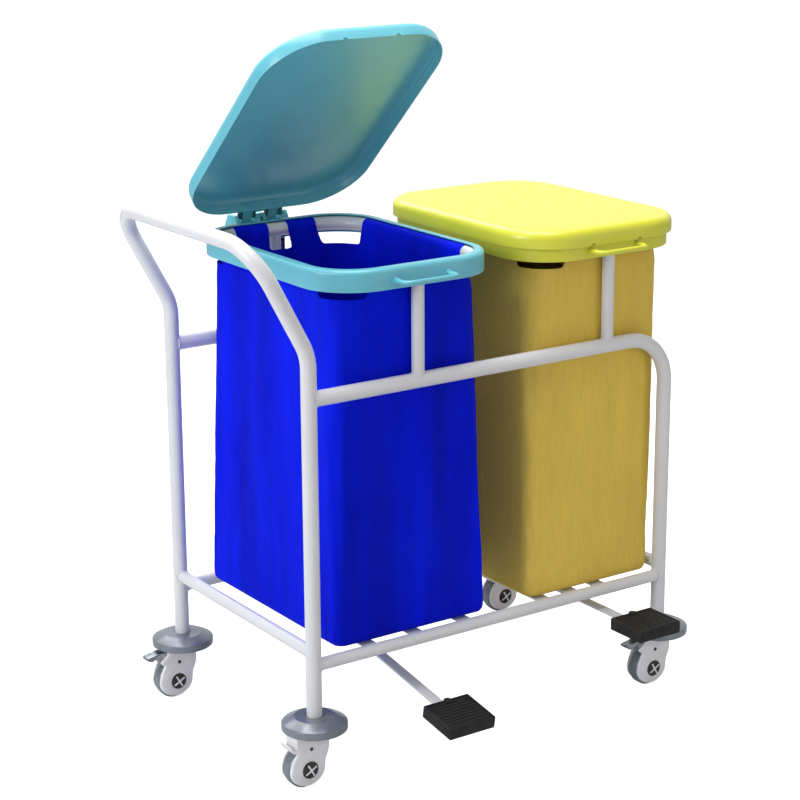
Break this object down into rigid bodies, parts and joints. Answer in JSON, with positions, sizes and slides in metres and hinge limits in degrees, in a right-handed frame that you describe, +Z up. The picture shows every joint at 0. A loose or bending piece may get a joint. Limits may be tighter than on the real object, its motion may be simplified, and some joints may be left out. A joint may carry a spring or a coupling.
{
  "type": "linen trolley",
  "caption": "Tube-framed laundry trolley on swivel castors with cloth bags hung from hooped rims, each under a hinged lid worked by a foot pedal through a push rod.",
  "frame": {"origin": "on the floor, at the bottom centre of the whole trolley's box at rest, with the left lid open", "axes": "+X runs along the trolley from the push handle to the far end, +Y runs across it from the pedal side to the hinge side, +Z is up"},
  "size_m": [1.048, 0.794, 1.4034],
  "materials": {
    "white_powder_coat": "satin powder coat",
    "turquoise_plastic": "moulded, semi-gloss",
    "yellow_plastic": "moulded, semi-gloss",
    "blue_fabric": "tightly woven, with a slight sheen",
    "mustard_fabric": "woven, matt",
    "black_rubber": "matt, ribbed",
    "grey_rubber": "matt",
    "grey_plastic": "moulded, satin",
    "yellow_zinc": "yellow passivated zinc plating",
    "bright_zinc": "bright zinc plating"
  },
  "bodies": {
    "frame": {"bag_left": "blue_fabric", "bag_right": "mustard_fabric", "bumper_front_left": "grey_rubber", "bumper_front_right": "grey_rubber", "bumper_rear_left": "grey_rubber", "bumper_rear_right": "grey_rubber", "deck_slat_1": "white_powder_coat", "deck_slat_2": "white_powder_coat", "deck_slat_3": "white_powder_coat", "deck_slat_4": "white_powder_coat", "deck_slat_5": "white_powder_coat", "deck_slat_6": "white_powder_coat", "front_bottom_rail": "white_powder_coat", "front_post_left": "white_powder_coat", "front_post_right": "white_powder_coat", "front_side_tube": "white_powder_coat", "handle_tube": "white_powder_coat", "hinge_bracket_left": "turquoise_plastic", "hinge_bracket_right": "yellow_plastic", "hinge_pin_left": "yellow_zinc", "hinge_pin_right": "yellow_zinc", "hoop_left": "white_powder_coat", "hoop_right": "white_powder_coat", "left_end_rail": "white_powder_coat", "pedal_bracket_left": "bright_zinc", "pedal_bracket_right": "bright_zinc", "rear_bottom_rail": "white_powder_coat", "rear_post_left": "white_powder_coat", "rear_post_right": "white_powder_coat", "rear_side_tube": "white_powder_coat", "right_end_rail": "white_powder_coat", "rim_grip_left": "turquoise_plastic", "rim_grip_right": "yellow_plastic", "rim_left": "turquoise_plastic", "rim_right": "yellow_plastic", "rod_guide_left": "bright_zinc", "rod_guide_right": "bright_zinc"},
    "lid_left": {"lid_left": "turquoise_plastic"},
    "pedal_left": {"pedal_lever_left": "white_powder_coat", "pedal_pad_left": "black_rubber"},
    "push_rod_left": {"push_rod_left": "yellow_zinc"},
    "lid_right": {"lid_right": "yellow_plastic"},
    "pedal_right": {"pedal_lever_right": "white_powder_coat", "pedal_pad_right": "black_rubber"},
    "push_rod_right": {"push_rod_right": "yellow_zinc"},
    "castor_front_left": {"castor_fork_front_left": "grey_plastic"},
    "wheel_front_left": {"wheel_core_front_left": "grey_plastic", "tyre_front_left": "grey_rubber"},
    "castor_rear_left": {"castor_fork_rear_left": "grey_plastic"},
    "wheel_rear_left": {"wheel_core_rear_left": "grey_plastic", "tyre_rear_left": "grey_rubber"},
    "castor_front_right": {"castor_fork_front_right": "grey_plastic"},
    "wheel_front_right": {"wheel_core_front_right": "grey_plastic", "tyre_front_right": "grey_rubber"},
    "castor_rear_right": {"castor_fork_rear_right": "grey_plastic"},
    "wheel_rear_right": {"wheel_core_rear_right": "grey_plastic", "tyre_rear_right": "grey_rubber"},
    "brake_rear_left": {"brake_lever_rear_left": "bright_zinc"},
    "brake_front_right": {"brake_lever_front_right": "bright_zinc"}
  },
  "joints": [
    {"name": "lid_hinge_left", "type": "hinge", "parent": "frame", "child": "lid_left", "pos_m": [-0.15162, 0.37, 0.966], "axis": [-1, 0, 0], "range_deg": [-43.2, 0]},
    {"name": "pedal_pivot_left", "type": "hinge", "parent": "frame", "child": "pedal_left", "pos_m": [-0.15162, 0.155, 0.195], "axis": [1, 0, 0], "range_deg": [-9.5, 0]},
    {"name": "push_rod_slide_left", "type": "slide", "parent": "frame", "child": "push_rod_left", "axis": [0, 0, 1], "range_m": [-0.0297, 0]},
    {"name": "lid_hinge_right", "type": "hinge", "parent": "frame", "child": "lid_right", "pos_m": [0.30838, 0.37, 0.966], "axis": [-1, 0, 0], "range_deg": [0, 43.2]},
    {"name": "pedal_pivot_right", "type": "hinge", "parent": "frame", "child": "pedal_right", "pos_m": [0.30838, 0.155, 0.195], "axis": [1, 0, 0], "range_deg": [0, 9.5]},
    {"name": "push_rod_slide_right", "type": "slide", "parent": "frame", "child": "push_rod_right", "axis": [0, 0, 1], "range_m": [0, 0.0297]},
    {"name": "castor_swivel_front_left", "type": "hinge", "parent": "frame", "child": "castor_front_left", "pos_m": [-0.39562, -0.2145, 0.1112], "axis": [0, 0, 1], "continuous": true},
    {"name": "wheel_axle_front_left", "type": "hinge", "parent": "castor_front_left", "child": "wheel_front_left", "pos_m": [-0.42362, -0.2145, 0.0375], "axis": [0, 1, 0], "continuous": true},
    {"name": "castor_swivel_rear_left", "type": "hinge", "parent": "frame", "child": "castor_rear_left", "pos_m": [-0.39562, 0.3045, 0.1112], "axis": [0, 0, 1], "continuous": true},
    {"name": "wheel_axle_rear_left", "type": "hinge", "parent": "castor_rear_left", "child": "wheel_rear_left", "pos_m": [-0.42362, 0.3045, 0.0375], "axis": [0, 1, 0], "continuous": true},
    {"name": "brake_pivot_rear_left", "type": "hinge", "parent": "castor_rear_left", "child": "brake_rear_left", "pos_m": [-0.44262, 0.3045, 0.1005], "axis": [0, -1, 0], "range_deg": [0, 12]},
    {"name": "castor_swivel_front_right", "type": "hinge", "parent": "frame", "child": "castor_front_right", "pos_m": [0.46038, -0.2145, 0.1112], "axis": [0, 0, 1], "continuous": true},
    {"name": "wheel_axle_front_right", "type": "hinge", "parent": "castor_front_right", "child": "wheel_front_right", "pos_m": [0.43238, -0.2145, 0.0375], "axis": [0, 1, 0], "continuous": true},
    {"name": "brake_pivot_front_right", "type": "hinge", "parent": "castor_front_right", "child": "brake_front_right", "pos_m": [0.41338, -0.2145, 0.1005], "axis": [0, -1, 0], "range_deg": [0, 12]},
    {"name": "castor_swivel_rear_right", "type": "hinge", "parent": "frame", "child": "castor_rear_right", "pos_m": [0.46038, 0.3045, 0.1112], "axis": [0, 0, 1], "continuous": true},
    {"name": "wheel_axle_rear_right", "type": "hinge", "parent": "castor_rear_right", "child": "wheel_rear_right", "pos_m": [0.43238, 0.3045, 0.0375], "axis": [0, 1, 0], "continuous": true}
  ],
  "couplings": [
    {"joint": "pedal_pivot_left", "follows": "lid_hinge_left", "ratio": 0.2199},
    {"joint": "push_rod_slide_left", "follows": "lid_hinge_left", "m_per_rad": 0.03939},
    {"joint": "pedal_pivot_right", "follows": "lid_hinge_right", "ratio": 0.2199},
    {"joint": "push_rod_slide_right", "follows": "lid_hinge_right", "m_per_rad": 0.03939}
  ]
}
